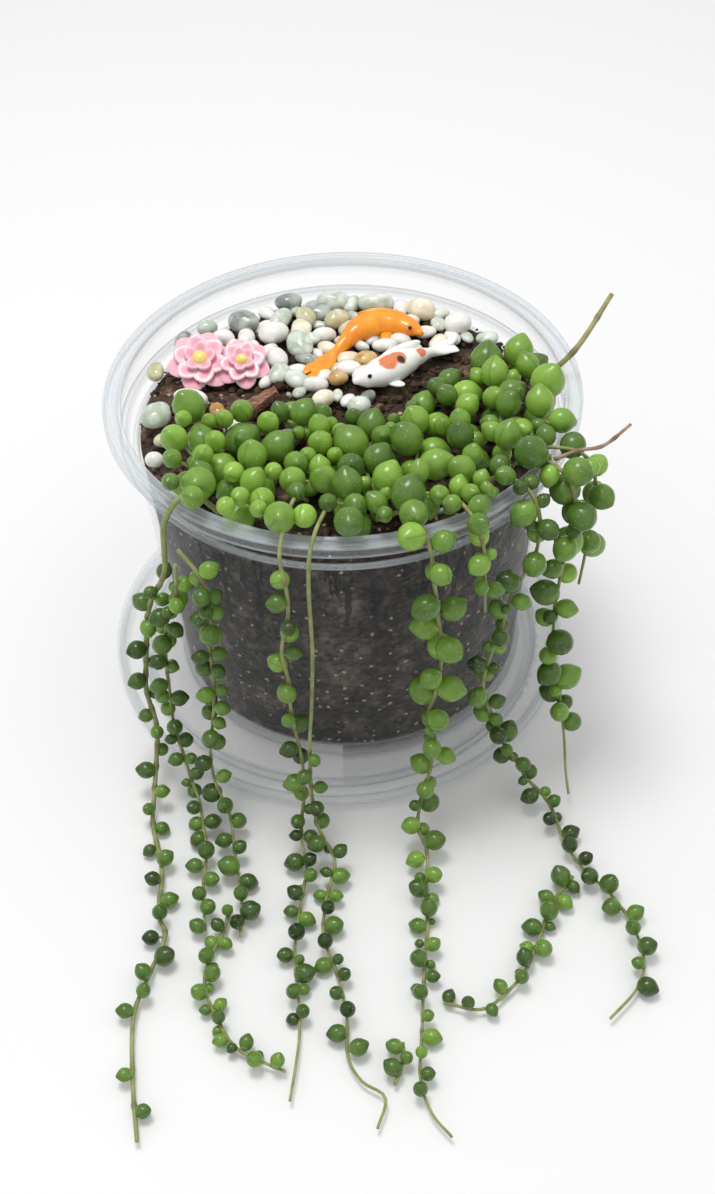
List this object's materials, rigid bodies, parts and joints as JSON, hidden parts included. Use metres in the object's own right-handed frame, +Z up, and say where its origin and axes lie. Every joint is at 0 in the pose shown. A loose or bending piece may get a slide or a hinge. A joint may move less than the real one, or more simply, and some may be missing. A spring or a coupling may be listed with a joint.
{
  "type": "potted string of pearls plant",
  "caption": "Trailing string-of-pearls succulent in a clear tapered plastic pot on a clear saucer, with polished pebbles, a resin blossom and resin koi on the soil.",
  "frame": {"origin": "on the pot's axis at floor level, on the saucer's flat underside", "axes": "+Z up along the pot's axis, -Y towards the side where the stems trail over the floor, +X to the right seen from that side"},
  "size_m": [0.1355, 0.2156, 0.1045],
  "materials": {
    "clear_plastic": "clear, thin, smooth",
    "potting_soil": "dark, crumbly, matt",
    "pink_resin": "glossy",
    "orange_resin": "glossy",
    "white_resin": "glossy with orange patches",
    "bark": "rough",
    "grey_stone": "polished",
    "jade_stone": "polished, cloudy",
    "olive_stone": "polished, cloudy",
    "white_stone": "polished",
    "amber_stone": "polished, cloudy",
    "cream_stone": "polished",
    "pearl_leaf": "smooth, waxy",
    "stem": "satin",
    "dry_stem": "matt"
  },
  "bodies": {
    "root": {"pot": "clear_plastic", "saucer": "clear_plastic", "soil": "potting_soil", "blossoms": "pink_resin", "orange_koi": "orange_resin", "white_koi": "white_resin", "bark_chip": "bark", "pebble_01": "grey_stone", "pebble_02": "jade_stone", "pebble_03": "olive_stone", "pebble_04": "olive_stone", "pebble_05": "grey_stone", "pebble_06": "jade_stone", "pebble_07": "grey_stone", "pebble_08": "white_stone", "pebble_09": "white_stone", "pebble_10": "jade_stone", "pebble_11": "white_stone", "pebble_12": "white_stone", "pebble_13": "jade_stone", "pebble_14": "white_stone", "pebble_15": "olive_stone", "pebble_16": "jade_stone", "pebble_17": "olive_stone", "pebble_18": "white_stone", "pebble_19": "amber_stone", "pebble_20": "white_stone", "pebble_21": "jade_stone", "pebble_22": "cream_stone", "pebble_23": "white_stone", "pebble_24": "amber_stone", "pebble_25": "amber_stone", "pebble_26": "jade_stone", "pebble_27": "cream_stone", "pebble_28": "grey_stone", "pebble_29": "jade_stone", "strand_a1": "pearl_leaf", "strand_a2": "pearl_leaf", "strand_a3": "pearl_leaf", "strand_a4": "pearl_leaf", "strand_b1": "pearl_leaf", "strand_b2": "pearl_leaf", "strand_b3": "pearl_leaf", "strand_c1": "pearl_leaf", "strand_c2": "pearl_leaf", "strand_d1": "pearl_leaf", "strand_d2": "pearl_leaf", "strand_d3": "pearl_leaf", "strand_d4": "pearl_leaf", "crown_1": "pearl_leaf", "crown_2": "pearl_leaf", "crown_3": "pearl_leaf", "crown_4": "pearl_leaf", "crown_5": "pearl_leaf", "crown_6": "pearl_leaf", "crown_7": "pearl_leaf", "crown_8": "pearl_leaf", "crown_9": "pearl_leaf", "bare_stem": "stem", "dry_twig": "dry_stem"}
  },
  "joints": []
}
